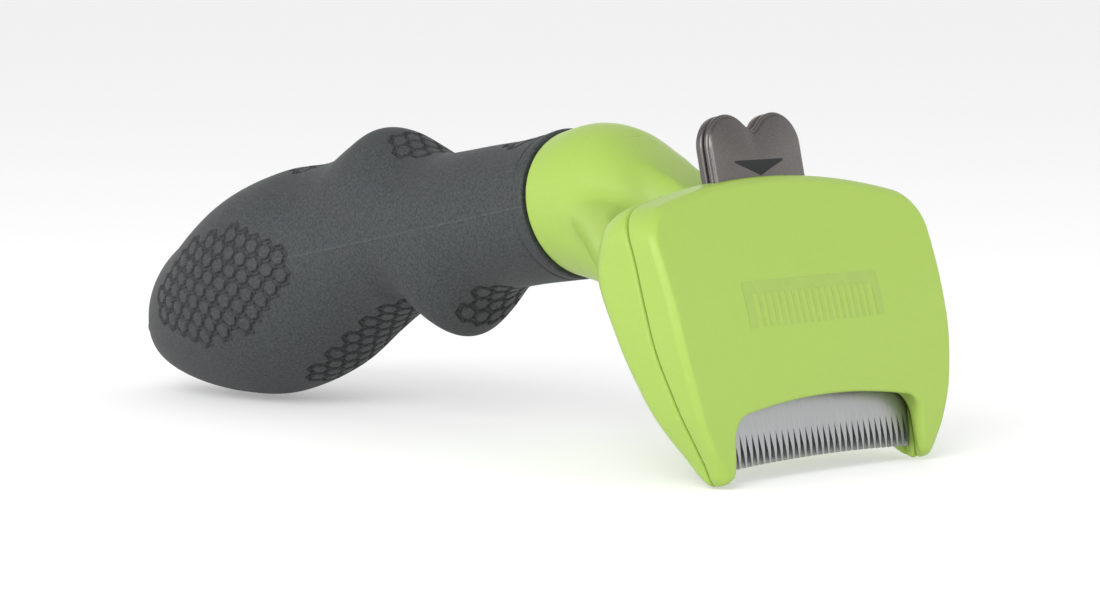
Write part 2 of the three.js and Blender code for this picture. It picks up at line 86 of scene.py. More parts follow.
# Neck and rim: lines of height or half-width over y
RIM_Y, RIM_Z = 58.8, 40.4
RIM_PITCH = math.radians(9.5)
NECK_TOP = [(14, 37), (20, 39.9), (26, 42.8), (31.4, 45.2), (36.6, 47.5), (42.2, 50.3), (48.5, 53.5),
            (54.4, 54.1), (60.8, 52.6)]
NECK_BOTTOM = [(14, 16), (24, 20), (32, 22.8), (41, 25), (50, 27), (56.8, 28.2)]
NECK_HALF = [(14, 9.5), (24, 9.2), (32, 9.4), (40, 10.8), (50, 13.1), (59, 13.4)]
WING_TOP = [(16, 38), (24, 39), (30, 40.5), (36, 42), (42, 43.8), (50, 47)]
WING_BOTTOM = [(16, 20), (24, 22.5), (32, 26), (40, 30), (50, 34.5)]
WING_HALF = [(16, 23), (22, 24.8), (27, 24.6), (34, 21.2), (40, 17.7), (44, 15.3), (50, 12.4)]
WING_END = 51.0
NECK_BOXY, WING_BOXY = 1.3, 0.5        # how much squarer than an ellipse the sections turn
BOXY_FROM, BOXY_LENGTH = 50.0, 16.0
NECK_WALL = 2.4
NECK_HOLLOW = (17.0, 45.0)
SCOOP_FROM, SCOOP_TO, SCOOP_RADIUS = (11.2, 37.4, 55), (12.4, 30.6, 43.6), 6.8
SOCKET_RADIUS, SOCKET_MIDDLE, SOCKET_HALF = 8.8, -5.0, 10.0   # the last two lie along the handle

# The leaned plane of the blade and ejector, with spaces and the shelf as boxes of (x, v, u) corners
LEAN = math.radians(13)
LEAN_Y = 3.41
BLADE_ROOM = (-23.2, -0.3, -3), (23.2, 2.3, 17.8)
WIPER_ROOM = (-20.7, 2, -3), (20.7, 3.7, 36)
CLAMP_ROOM = (-21.3, -2.3, 12.5), (21.3, 0.5, 19.3)
BUTTON_ROOM = (-11.5, 2.75, 34), (11.5, 7.05, 80)
SHELF = (-18.5, 3.9, 17.2), (18.5, 9.6, 19.4)

# Head screws: x, height u and the head's place along v
HEAD_SCREWS = [(-24, 34, 10.8), (24, 34, 10.8), (-24, 20, 8.4), (24, 20, 8.4)]
POST_RADIUS, SCREW_HOLE, SCREW_WELL, SCREW_GAP = 3.9, 1.5, 2.5, 0.3
SCREW_FROM, POST_FROM, WELL_END = -2.2, -5.0, 20.0

# Handle
HANDLE_PITCH = math.radians(11)
GRIP_START, HANDLE_END = 0.4, 115.2
TAIL_START, BELLY, MOULD_BEND = 81.0, 78.0, 62.0
MOULD_SLOPE, TAIL_DROP = 0.011, 9.3
TOP_LINE = [(0, 13), (4, 12.6), (10, 12.4), (18, 12.7), (26, 12.9), (31, 13.2), (35, 14.4), (39, 17),
            (43, 19.4), (47, 20.2), (51, 18.9), (56, 16.8), (62, 16.2), (72, 16.6), (84, 14.7), (96, 10.6)]
BOTTOM_LINE = [(0, -13), (4, -12.8), (14, -12.4), (20, -12.7), (24, -14.4), (28, -17.6), (31.5, -19.2),
               (35, -17.2), (38, -13), (41, -11.2), (45, -12.6), (50, -14), (58, -17.3), (68, -21.6),
               (80, -23.8), (92, -23.8)]
WIDTH_LINE = [(0, 13.7), (20, 14.2), (38, 14.8), (52, 15.3), (60, 16.6), (68, 18.3), (78, 19.5)]

# The grip's hexagon pattern: sunk outlines around cells that stay level with the rubber
CELL_PITCH, CHANNEL, CHANNEL_DEPTH, STUD = 3.3, 0.4, 0.55, 0.34
LIP_S, LIP_DEPTH, LIP_WIDTH = 2.7, 0.28, 0.22   # a fine groove runs round the grip just behind its rim
MOULD_RISE, MOULD_WIDTH = 0.14, 0.15            # the fine raised line between the mould's halves
RIM_ROUND, RIM_REACH = 0.45, 0.7                # the grip's rounded front edge

# The comb printed on the front
MARK_HALF, MARK_Z, MARK_BACK, MARK_TOOTH, MARK_STROKE, MARK_TEETH = 16.0, 29.5, 1.9, 5.2, 0.7, 17

# Camera
CAMERA_YAW, CAMERA_FALL, CAMERA_DISTANCE = math.radians(44), math.radians(5.6), 623.0
CAMERA_TARGET = (0.0, 66.5, 23.3)
CAMERA_LENS = 119.0


# ------------------------------------------------------------------ frames and meshes

def in_frame(points):
    """Design millimetres to frame metres."""
    points = np.asarray(points, float)
    return (points + np.array([0, DATUM_Y, 0])) * MM


def leaned(points):
    """Points given as (x, v, u) in the leaned plane's axes, in design axes."""
    x, v, u = np.moveaxis(np.asarray(points, float), -1, 0)
    y = LEAN_Y + v * math.cos(LEAN) + u * math.sin(LEAN)
    return np.stack([x, y, u * math.cos(LEAN) - v * math.sin(LEAN)], -1)


def along_handle(points):
    """Points given as (x, s, h) along the handle, in design axes."""
    x, s, h = np.moveaxis(np.asarray(points, float), -1, 0)
    y = RIM_Y + s * math.cos(HANDLE_PITCH) + h * math.sin(HANDLE_PITCH)
    return np.stack([x, y, RIM_Z - s * math.sin(HANDLE_PITCH) + h * math.cos(HANDLE_PITCH)], -1)


def mesh_piece(name, points, faces, material, smooth=True):
    """A mesh object from design points, with its faces turned outwards."""
    mesh = bpy.data.meshes.new(name)
    points = in_frame(points)
    faces = np.asarray(faces, np.int32)
    mesh.vertices.add(len(points))
    mesh.vertices.foreach_set("co", points.astype(np.float32).ravel())
    width = faces.shape[1]
    mesh.loops.add(faces.size)
    mesh.loops.foreach_set("vertex_index", faces.ravel())
    mesh.polygons.add(len(faces))
    mesh.polygons.foreach_set("loop_start", np.arange(0, faces.size, width, dtype=np.int32))
    mesh.update(calc_edges=True)
    mesh.validate()
    if smooth:
        mesh.shade_smooth()
    mesh.materials.append(material)
    piece = bpy.data.objects.new(name, mesh)
    bpy.context.scene.collection.objects.link(piece)
    return piece


def curve(points, swapped=False):
    """Smooth interpolation of the second value over the first (or the first over the second)."""
    table = np.array(points, float)
    if swapped:
        table = table[:, ::-1]
    t, v = table[:, 0], table[:, 1]
    slope = np.gradient(v, t)
    slope[1:-1] = (v[2:] - v[:-2]) / (t[2:] - t[:-2])

    def value(at):
        at = np.clip(np.asarray(at, float), t[0], t[-1])
        i = np.clip(np.searchsorted(t, at, side="right") - 1, 0, len(t) - 2)
        step = t[i + 1] - t[i]
        f = (at - t[i]) / step
        ease = f * f * (3 - 2 * f)
        bend = slope[i] * step * f * (1 - f) ** 2 - slope[i + 1] * step * f * f * (1 - f)
        return v[i] + (v[i + 1] - v[i]) * ease + bend

    return value


# ------------------------------------------------------------------ solids as distance fields

def both(a, b, radius=0.0):
    """Intersection of two fields, its edge rounded to a radius."""
    outer = np.hypot(np.maximum(a + radius, 0), np.maximum(b + radius, 0))
    return outer - radius + np.minimum(np.maximum(a, b) + radius, 0)


def cut(a, b, radius=0.0):
    """The first field without the second, its edge rounded to a radius."""
    return both(a, -b, radius)


def melt(a, b, reach):
    """Union with a soft blend where the two fields differ by less than reach."""
    mix = np.maximum(reach - np.abs(a - b), 0) / reach
    return np.minimum(a, b) - mix * mix * reach / 4


class Grid:
    """Sample points for fields, and the closed mesh of a field's zero level."""

    def __init__(self, low, high, cell):
        self.low, self.cell = np.array(low, float), cell
        axes = [np.arange(a, b + cell, cell, dtype=np.float32) for a, b in zip(low, high)]
        self.x = axes[0][:, None, None]
        self.y = axes[1][None, :, None]
        self.z = axes[2][None, None, :]

    def flat(self, field):
        """A field of x and z only, worked out on one slice and shown to every y."""
        return field(self.x[:, 0, :], self.z[0])[:, None, :]

    def mesh(self, field):
        """One vertex in each cell that the surface crosses, one quad round each crossed edge."""
        field = np.array(field, np.float32)
        inside = field < 0
        crossed = np.zeros(np.array(field.shape) - 1, bool)
        corners = [(i, j, k) for i in (0, 1) for j in (0, 1) for k in (0, 1)]
        part = lambda a, c: a[tuple(slice(o, n - 1 + o) for o, n in zip(c, a.shape))]
        first = part(inside, corners[0])
        for c in corners[1:]:
            crossed |= part(inside, c) != first
        cells = np.argwhere(crossed)
        number = np.full(crossed.shape, -1, np.int32)
        number[tuple(cells.T)] = np.arange(len(cells))
        total, count = np.zeros((len(cells), 3)), np.zeros(len(cells))
        for axis in range(3):
            for side in ((0, 0), (0, 1), (1, 0), (1, 1)):
                start = np.insert(np.array(side), axis, 0)
                end = start.copy()
                end[axis] = 1
                a = field[tuple((cells + start).T)]
                b = field[tuple((cells + end).T)]
                hit = (a < 0) != (b < 0)
                share = np.where(hit, a / np.where(hit, a - b, 1), 0)
                place = cells + start
                place = place + share[:, None] * (end - start)
                total += np.where(hit[:, None], place, 0)
                count += hit
        points = self.low + self.cell * total / count[:, None]
        faces = []
        for axis in range(3):
            u, v = (axis + 1) % 3, (axis + 2) % 3
            span = [slice(1, n - 1) for n in field.shape]
            span[axis] = slice(0, field.shape[axis] - 1)
            ahead = list(span)
            ahead[axis] = slice(1, field.shape[axis])
            a, b = inside[tuple(span)], inside[tuple(ahead)]
            for leaving in (True, False):
                edges = np.argwhere((a != b) & (a == leaving)) + [s.start for s in span]
                ring = []
                for du, dv in ((0, 0), (1, 0), (1, 1), (0, 1)):
                    at = edges.copy()
                    at[:, u] -= 1 - du
                    at[:, v] -= 1 - dv
                    ring.append(number[tuple(at.T)])
                ring = np.stack(ring, 1)
                faces.append(ring if leaving else ring[:, ::-1])
        return points, np.concatenate(faces)


def polygon_field(outline):
    """Signed distance to a closed outline of (a, b) points, negative inside."""
    outline = np.array(outline, np.float32)

    def field(a, b):
        a, b = np.broadcast_arrays(a, b)
        best = np.full(a.shape, 1e9, np.float32)
        inside = np.zeros(a.shape, bool)
        for (x0, y0), (x1, y1) in zip(outline, np.roll(outline, -1, axis=0)):
            dx, dy = x1 - x0, y1 - y0
            length = dx * dx + dy * dy
            if length < 1e-12:
                continue
            t = np.clip(((a - x0) * dx + (b - y0) * dy) / length, 0, 1)
            best = np.minimum(best, (a - x0 - t * dx) ** 2 + (b - y0 - t * dy) ** 2)
            if dy:
                spans = (y0 > b) != (y1 > b)
                inside ^= spans & (a < x0 + (b - y0) / dy * dx)
        return np.where(inside, -1, 1) * np.sqrt(best)

    return field


def arc(cx, cy, radius, start, stop, steps=10):
    """Points along an arc, from one angle to another in degrees."""
    angles = np.radians(np.linspace(start, stop, steps + 1))
    return [(cx + radius * math.cos(t), cy + radius * math.sin(t)) for t in angles]


def box_field(g, corners):
    """Distance to a box given by its low and high corners in the leaned plane's axes."""
    low, high = np.array(corners)
    v_at, u_at = lean_axes(g)
    q = [np.abs(a - (b + c) / 2) - (c - b) / 2 for a, b, c in zip((g.x, v_at, u_at), low, high)]
    outer = np.sqrt(sum(np.maximum(a, 0) ** 2 for a in q))
    return outer + np.minimum(np.maximum(np.maximum(q[0], q[1]), q[2]), 0)


def lean_axes(g):
    """The leaned plane's own coordinates v and u at the grid's points."""
    y, z = g.y - LEAN_Y, g.z
    return y * math.cos(LEAN) - z * math.sin(LEAN), y * math.sin(LEAN) + z * math.cos(LEAN)


def lean_rod(g, radius, x, u, start, stop):
    """A rod along the leaned plane's normal."""
    v_at, u_at = lean_axes(g)
    side = np.hypot(g.x - x, u_at - u) - radius
    return np.maximum(side, np.abs(v_at - (start + stop) / 2) - (stop - start) / 2)


# ------------------------------------------------------------------ head

def head_outline():
    """The head seen from the front: legs, bulging sides, round shoulders and arched top."""
    side_at = curve(SIDE_POINTS[3:], swapped=True)
    reach = TOP_RADIUS - SHOULDER_RADIUS
    shoulder_z = HEAD_TOP - TOP_RADIUS + math.sqrt(reach ** 2 - SHOULDER_X ** 2)
    tangent = math.degrees(math.acos(SHOULDER_X / reach))
    right = SIDE_POINTS[:3] + [(float(side_at(z)), z) for z in np.linspace(SIDE_POINTS[3][1], shoulder_z, 18)]
    right += arc(SHOULDER_X, shoulder_z, SHOULDER_RADIUS, 4, tangent, 12)
    for x in np.linspace(right[-1][0], 0, 14)[1:]:
        right.append((x, HEAD_TOP - TOP_RADIUS + math.sqrt(TOP_RADIUS ** 2 - x * x)))
    return [(0, SIDE_POINTS[0][1])] + right + [(-x, z) for x, z in right[-2::-1]]


def window_outline():
    spring = WINDOW_SPRING - WINDOW_CORNER
    right = [(23.8, -3), (23.2, -0.6), (22.5, 0.5), (21.9, 2), (WINDOW_HALF, 4)]
    right += arc(WINDOW_HALF - WINDOW_CORNER, spring, WINDOW_CORNER, 0, 84, 8)
    start = right[-1]
    crown = lambda x: WINDOW_CROWN + (start[1] - WINDOW_CROWN) * (x / start[0]) ** 2
    right += [(x, crown(x)) for x in np.linspace(start[0], 0, 12)[1:]]
    return right + [(-x, z) for x, z in right[-2::-1]]


def slab(line, g, swapped=True):
    """Distance behind a wall whose place along y is a curve of height."""
    value = curve(line, swapped)
    slope = value(g.z + 0.5) - value(g.z - 0.5)
    return (g.y - value(g.z)) / np.sqrt(1 + slope ** 2)


def rise(t, low, high):
    """Smooth step from 0 at low to 1 at high."""
    f = np.clip((t - low) / (high - low), 0, 1)
    return f * f * (3 - 2 * f)


def head_field(g):
    """The whole head before it is split into its two shells."""
    front = np.hypot(g.y - FRONT_Y - FRONT_RADIUS, g.z) - FRONT_RADIUS
    rear = slab(REAR_POINTS, g)
    outline = g.flat(polygon_field(head_outline()))
    outline = outline + DRAFT * np.maximum(-front, 0)
    toe = np.clip(1 - g.z / TOE_HEIGHT, 0, 1) ** 2
    bevel = (outline + front + BEVEL + (TOE_BEVEL - BEVEL) * toe) * math.sqrt(0.5)
    face = both(both(outline, front, 0.2), bevel, 0.2 + 1.4 * toe)
    return both(face, rear, 3.0 + 6.0 * rise(g.z, 30, 46))


def ring_field(g, top_line, bottom_line, half_line, boxy, inset):
    """A flattened round tube along y that follows top, bottom and half-width lines."""
    top = curve(top_line)(g.y) - inset
    bottom = curve(bottom_line)(g.y) + inset
    half = curve(half_line)(g.y) - inset
    middle, height = (top + bottom) / 2, (top - bottom) / 2
    power = 2 + boxy * np.clip((BOXY_FROM - g.y) / BOXY_LENGTH, 0, 1)
    reach = (np.abs(g.x / half) ** power + np.abs((g.z - middle) / height) ** power) ** (1 / power)
    return (reach - 1) * np.minimum(half, height)


def neck_field(g, inset=0.0):
    """The neck: a narrow ridge on top and a wing on each side that spreads into the head."""
    ridge = ring_field(g, NECK_TOP, NECK_BOTTOM, NECK_HALF, NECK_BOXY, inset)
    wings = ring_field(g, WING_TOP, WING_BOTTOM, WING_HALF, WING_BOXY, inset)
    return melt(ridge, both(wings, g.y - WING_END), 1.6)


def scoops(g):
    """Round-ended hollows, one on each side of the ridge that joins the neck to the head."""
    start, way = np.array(SCOOP_FROM), np.array(SCOOP_TO) - SCOOP_FROM
    x = np.abs(g.x)
    along = ((x - start[0]) * way[0] + (g.y - start[1]) * way[1] + (g.z - start[2]) * way[2]) / (way @ way)
    along = np.clip(along, 0, 1)
    gap = [a - start[k] - along * way[k] for k, a in enumerate((x, g.y, g.z))]
    return np.sqrt(sum(a * a for a in gap)) - SCOOP_RADIUS


def rim_plane(g):
    return (g.y - RIM_Y) * math.cos(RIM_PITCH) - (g.z - RIM_Z) * math.sin(RIM_PITCH)


def window_field(g):
    return g.flat(polygon_field(window_outline()))


def mechanism_room(g):
    """Space for the blade, its clamp and the wiper plate."""
    room = box_field(g, BLADE_ROOM)
    room = np.minimum(room, box_field(g, WIPER_ROOM))
    return np.minimum(room, box_field(g, CLAMP_ROOM))


def screw_posts(g):
    field = 1e9
    for x, u, _ in HEAD_SCREWS:
        field = np.minimum(field, lean_rod(g, POST_RADIUS, x, u, POST_FROM, WELL_END))
    return field


def screw_holes(g):
    field = 1e9
    for x, u, head in HEAD_SCREWS:
        field = np.minimum(field, lean_rod(g, SCREW_HOLE, x, u, SCREW_FROM, WELL_END))
        field = np.minimum(field, lean_rod(g, SCREW_WELL, x, u, head - SCREW_GAP, WELL_END))
    return field


def front_cover(material):
    g = Grid((-33.6, -0.6, -1.2), (33.6, 24, 48), COVER_CELL)
    body = head_field(g)
    hollow = both(body + WALL, HOLLOW_FOOT - g.z)
    hollow = np.maximum(hollow, -screw_posts(g))
    seam = slab(SEAM_POINTS, g) + SEAM_GAP / 2
    shell = both(cut(body, hollow), seam, SEAM_ROUND)
    shell = cut(shell, screw_holes(g))
    shell = cut(shell, mechanism_room(g))
    shell = cut(shell, window_field(g), 0.5 + 1.0 * rise(-g.z, -11, -7))
    shell = cut(shell, box_field(g, BUTTON_ROOM), 0.5)
    return mesh_piece("front_cover_shell", *g.mesh(shell), material)


def rear_housing(material):
    g = Grid((-33.6, 2, -1.2), (33.6, 62, 56), HOUSING_CELL)
    body = head_field(g)
    neck = both(neck_field(g), rim_plane(g), 0.8)
    scoop = scoops(g)
    outside = cut(melt(body, neck, 4 - 2.6 * rise(g.z, 34, 43)), scoop, 1.4)
    hollow = both(body + WALL, HOLLOW_FOOT - g.z)
    inner_neck = both(both(neck_field(g, NECK_WALL), g.y - NECK_HOLLOW[1]), NECK_HOLLOW[0] - g.y)
    hollow = np.maximum(np.minimum(hollow, inner_neck), NECK_WALL - scoop)
    hollow = np.maximum(hollow, -screw_posts(g))
    shell = both(cut(outside, hollow), -slab(SEAM_POINTS, g) + SEAM_GAP / 2, SEAM_ROUND)
    shell = np.minimum(shell, box_field(g, SHELF))
    s = (g.y - RIM_Y) * math.cos(HANDLE_PITCH) - (g.z - RIM_Z) * math.sin(HANDLE_PITCH)
    h = (g.y - RIM_Y) * math.sin(HANDLE_PITCH) + (g.z - RIM_Z) * math.cos(HANDLE_PITCH)
    socket = np.maximum(np.hypot(g.x, h) - SOCKET_RADIUS, np.abs(s - SOCKET_MIDDLE) - SOCKET_HALF)
    shell = cut(shell, np.maximum(socket, NECK_WALL - scoop), 0.5)
    shell = cut(shell, screw_holes(g), 0.3)
    shell = cut(shell, mechanism_room(g))
    shell = cut(shell, window_field(g), 0.6)
    shell = cut(shell, box_field(g, BUTTON_ROOM), 0.5)
    return mesh_piece("rear_housing_shell", *g.mesh(shell), material)


# ------------------------------------------------------------------ grip

def mould_line(s):
    """Height of the line where the grip's two mould halves meet."""
    fall = np.clip((s - MOULD_BEND) / (HANDLE_END - MOULD_BEND), 0, 1)
    return -MOULD_SLOPE * np.minimum(s, MOULD_BEND) - TAIL_DROP * fall ** 2


def closing(s, start):
    """Scale of the sections, from 1 at start to 0 at the handle's end along an ellipse."""
    reach = np.clip((s - start) / (HANDLE_END - start), 0, 1)
    return np.sqrt(1 - reach ** 2)


def grip_surface(s, angle):
    """Design-axis (x, s, h) of the smooth grip at a place along it and round it."""
    middle = mould_line(s)
    scale = closing(s, TAIL_START)
    above = (curve(TOP_LINE)(s) - middle) * scale
    below = (middle - curve(BOTTOM_LINE)(s)) * scale
    half = curve(WIDTH_LINE)(s) * closing(s, BELLY)
    sine = np.sin(angle)
    height = middle + np.where(sine > 0, above, below) * sine
    return np.stack([half * np.cos(angle), s + 0 * angle, height], -1)


def surface_normals(points):
    """Outward normals of a grid of points that closes on itself along its second axis."""
    along = np.gradient(points, axis=0)
    around = np.roll(points, -1, axis=1) - np.roll(points, 1, axis=1)
    normal = np.cross(along, around)
    return normal / np.maximum(np.linalg.norm(normal, axis=-1, keepdims=True), 1e-9)


def channels(a, b, rows, turn, start):
    """Depth of the sunk hexagon outlines at (a, b): rows of (first, count) cells from a starting cell."""
    first_way = np.array([math.cos(turn), math.sin(turn)])
    next_row = np.array([math.cos(turn + math.pi / 3), math.sin(turn + math.pi / 3)])
    edges = [np.array([math.cos(turn + k * math.pi / 3), math.sin(turn + k * math.pi / 3)]) for k in range(3)]
    corner_reach = CELL_PITCH / math.sqrt(3)
    nearest = np.full(a.shape, 1e3)
    stud = np.full(a.shape, 1e3)
    for row, (first, count) in enumerate(rows):
        for column in range(first, first + count):
            centre = np.array(start) + CELL_PITCH * (column * first_way + row * next_row)
            da, db = a - centre[0], b - centre[1]
            across = np.max([np.abs(da * e[0] + db * e[1]) for e in edges], axis=0)
            nearest = np.minimum(nearest, across - CELL_PITCH / 2)
            for k in range(6):
                bearing = turn + math.pi / 6 + k * math.pi / 3
                stud = np.minimum(stud, np.hypot(da - corner_reach * math.cos(bearing),
                                                 db - corner_reach * math.sin(bearing)))
    sunk = 1 - rise(np.abs(nearest), CHANNEL - 0.08, CHANNEL + 0.14)
    return sunk * (1 - 0.8 * (1 - rise(stud, STUD - 0.15, STUD + 0.08)))


# Rows of (first, count) hexagon cells in each patch
PALM_LEAN, PALM_TURN = 0.1, math.radians(205.5)
PALM_ROWS = [(0, 5), (-2, 7), (-4, 8), (-5, 8), (-6, 8), (-7, 8), (-8, 7), (-8, 5)]
UNDER_ROWS = [(0, 3), (-1, 4), (-1, 3), (-2, 4), (-2, 3), (-3, 4), (-3, 3), (-4, 4), (-4, 3), (-5, 4),
              (-5, 3)]
FINGER_ROWS = [(0, 3), (-1, 4), (-1, 3), (-2, 4)]
THUMB_ROWS = [(0, 3), (-1, 4), (-1, 3)]
NECK_ROWS = [(0, 3), (-1, 4), (-1, 3)]
CROWN_ROWS = [(0, 3), (-1, 4), (-1, 3)]


def grip_pattern(points, angle):
    """Depth of the pattern, from 0 to 1, over the whole grip."""
    x, s, h = np.moveaxis(points, -1, 0)
    depth = np.zeros(x.shape)
    for side in (-1, 1):
        spot = (side * x > 6) & (s > 56) & (s < 102)
        depth[spot] = np.maximum(depth[spot], channels(s[spot] + PALM_LEAN * h[spot], h[spot],
                                                         PALM_ROWS, PALM_TURN, (73.4, 5.4)))
    quarter = points.shape[1] // 4
    for column, facing, patches in ((quarter, 1, ((NECK_ROWS, 5), (THUMB_ROWS, 35), (CROWN_ROWS, 62))),
                                    (3 * quarter, -1, ((FINGER_ROWS, 19), (UNDER_ROWS, 44)))):
        line = points[:, column, 1:]
        run = np.concatenate([[0], np.cumsum(np.hypot(*np.diff(line, axis=0).T))])
        for rows, start in patches:
            begin = np.interp(start, line[:, 0], run)
            length = CELL_PITCH * math.sqrt(0.75) * len(rows)
            spot = (facing * np.sin(angle) + 0 * x > 0.3) & (np.abs(run - begin - length / 2)
                                                            < length / 2 + CELL_PITCH)[:, None]
            reach = (run - begin)[:, None] + 0 * x
            depth[spot] = np.maximum(depth[spot], channels(x[spot], reach[spot], rows, 0, (-CELL_PITCH, 0)))
    return depth


def grip(material):
    rows, columns, tail_share = 740, 640, 0.22
    along = np.linspace(0, 1, rows)
    turn = np.clip((along - 1 + tail_share) / tail_share, 0, 1) * math.pi / 2
    s = np.where(along < 1 - tail_share, GRIP_START + (BELLY + 6 - GRIP_START) * along / (1 - tail_share),
                 BELLY + 6 + (HANDLE_END - BELLY - 6) * np.sin(turn))
    s[:6] = GRIP_START + np.array([0, 0.05, 0.15, 0.3, 0.5, 0.7])
    angle = np.linspace(0, 2 * math.pi, columns, endpoint=False)[None, :]
    points = grip_surface(s[:, None], angle)
    normals = surface_normals(points)
    depth = grip_pattern(points, angle)
    lift = -CHANNEL_DEPTH * depth
    past = np.clip((s - GRIP_START) / RIM_REACH, 0, 1)[:, None]
    lift = lift - RIM_ROUND * (1 - np.sqrt(1 - (1 - past) ** 2))
    lift = lift - LIP_DEPTH * np.exp(-((s[:, None] - LIP_S) / LIP_WIDTH) ** 2)
    seam = np.abs(points[..., 2] - mould_line(s)[:, None])
    reach = rise(-s, -63.5, -61.5)[:, None] + rise(s, 98, 101)[:, None] * (1 - rise(s, 110, 113)[:, None])
    ridge = np.exp(-(seam / MOULD_WIDTH) ** 2) * reach
    lift = lift + MOULD_RISE * ridge
    # Painted shading: the walls and floors of the sunk channels get painted shade, a darker colour where
    # shade falls in the pattern, and the raised mould line gets a painted highlight.
    wall = 1 - np.abs(2 * depth - 1)
    painted_shading = 0.5 - 0.5 * np.clip(wall + 0.1 * depth, 0, 1) + 0.22 * ridge
    points = points + normals * lift[..., None]
    throat = [points[0] * np.array([scale, 1, scale]) for scale in (0.72, 0.85, 0.95)]
    points = np.concatenate([np.array(throat), points])
    rings = len(points)
    index = np.arange(rings * columns).reshape(rings, columns)
    ahead = np.roll(index, -1, axis=1)
    faces = np.stack([index[:-1], index[1:], ahead[1:], ahead[:-1]], -1).reshape(-1, 4)
    piece = mesh_piece("grip_rubber", along_handle(points.reshape(-1, 3)), faces, material)
    # The painted shade and highlight go to the rubber material as a point attribute; the throat rings stay
    # neutral.
    painted_shading = np.concatenate([np.full((len(throat), columns), 0.5), painted_shading])
    piece.data.attributes.new("painted_shading", "FLOAT", "POINT").data.foreach_set("value", painted_shading.ravel())
    return piece


# ------------------------------------------------------------------ blade

BLADE_TOP, BLADE_FRONT, BLADE_REAR = 17.5, 0.0, 2.0
TEETH, TOOTH_PITCH, TIP_HALF = 32, 1.39, 0.13
FRONT_ROOT, REAR_ROOT, TIP_U, TIP_RADIUS = 7.9, 5.4, 3.05, 370.0


def blade(material):
    """Plain strip above, tapered teeth below: a slot's floor slants from the front root to the rear one."""
    levels = np.linspace(0, 1, 9)
    points, faces = [], []

    def quad(*corners):
        faces.append(range(len(points), len(points) + 4))
        points.extend(corners)

    for tooth in range(TEETH):
        x = (tooth - (TEETH - 1) / 2) * TOOTH_PITCH
        tip = TIP_U - x * x / (2 * TIP_RADIUS)
        half = TIP_HALF + (TOOTH_PITCH / 2 - TIP_HALF) * (1 - levels) ** 1.15
        thin = np.clip((levels - 0.55) / 0.45, 0, 1) ** 1.5
        front = [(v, FRONT_ROOT + (tip - FRONT_ROOT) * t, w)
                 for v, t, w in zip(BLADE_FRONT + 0.3 * thin, levels, half)]
        rear = [(v, REAR_ROOT + (tip - REAR_ROOT) * t, w)
                for v, t, w in zip(BLADE_REAR - 0.9 * thin, levels, half)]
        front.insert(0, (BLADE_FRONT, BLADE_TOP, TOOTH_PITCH / 2))
        rear.insert(0, (BLADE_REAR, BLADE_TOP, TOOTH_PITCH / 2))
        for k in range(len(front) - 1):
            (v0, u0, w0), (v1, u1, w1) = front[k], front[k + 1]
            (b0, d0, _), (b1, d1, _) = rear[k], rear[k + 1]
            quad((x - w0, v0, u0), (x + w0, v0, u0), (x + w1, v1, u1), (x - w1, v1, u1))
            quad((x + w0, b0, d0), (x - w0, b0, d0), (x - w1, b1, d1), (x + w1, b1, d1))
            for side in (-1, 1):
                inner = k == 0 and not (tooth == 0 and side < 0) and not (tooth == TEETH - 1 and side > 0)
                if not inner:
                    ring = [(x + side * w0, v0, u0), (x + side * w1, v1, u1),
                            (x + side * w1, b1, d1), (x + side * w0, b0, d0)]
                    quad(*(ring if side < 0 else ring[::-1]))
        (v0, u0, w0), (v1, u1, _) = front[-1], rear[-1]
        quad((x - w0, v0, u0), (x + w0, v0, u0), (x + w0, v1, u1), (x - w0, v1, u1))
        w0 = TOOTH_PITCH / 2
        quad((x - w0, BLADE_FRONT, BLADE_TOP), (x - w0, BLADE_REAR, BLADE_TOP),
             (x + w0, BLADE_REAR, BLADE_TOP), (x + w0, BLADE_FRONT, BLADE_TOP))
    return welded_piece("blade_strip", leaned(points), faces, material, 20)


def welded_piece(name, points, faces, material, crease):
    """A piece whose equal points are joined, smooth except across edges sharper than crease degrees."""
    points, back = np.unique(np.round(np.asarray(points, float), 4), axis=0, return_inverse=True)
    faces = back.reshape(-1)[np.array([list(face) for face in faces])]
    piece = mesh_piece(name, points, faces, material)
    piece.data.set_sharp_from_angle(angle=math.radians(crease))
    return piece


# ------------------------------------------------------------------ ejector button

BUTTON_HALF, BUTTON_FOOT = 11.0, 43.5
LOBE_X, LOBE_U, LOBE_RADIUS, NOTCH_U = 5.6, 53.8, 5.4, 56.5

# Outlines of the two plates, as (depth v, inset)
FACE_STACK = [(4.5, 0.35), (4.38, 0.1), (4.2, 0), (3.85, 0), (3.68, 0.16), (3.64, 0.5), (3.5, 0.62),
              (3.3, 0.7), (3.2, 0.95)]
BACK_STACK = [(6.6, 1.6), (6.52, 0.75), (6.3, 0.22), (6.0, 0), (5.15, 0), (4.95, 0.12), (4.8, 0.4)]


def button_outline(inset):
    """The two-lobed thumb plate in (x, u), moved inwards."""
    radius = LOBE_RADIUS - inset
    right = [(BUTTON_HALF - inset, BUTTON_FOOT + 3.5 * k) for k in range(3)]
    right += arc(LOBE_X, LOBE_U, radius, 0, 136, 18)
    (x0, u0), notch = right[-1], NOTCH_U - 1.1 * inset
    for t in (0.25, 0.5, 0.75, 1):
        bend = np.array([0.32 * x0, notch + 0.05])
        spot = (1 - t) ** 2 * np.array([x0, u0]) + 2 * t * (1 - t) * bend + t * t * np.array([0, notch])
        right.append(tuple(spot))
    return right + [(-x, u) for x, u in right[-2::-1]]


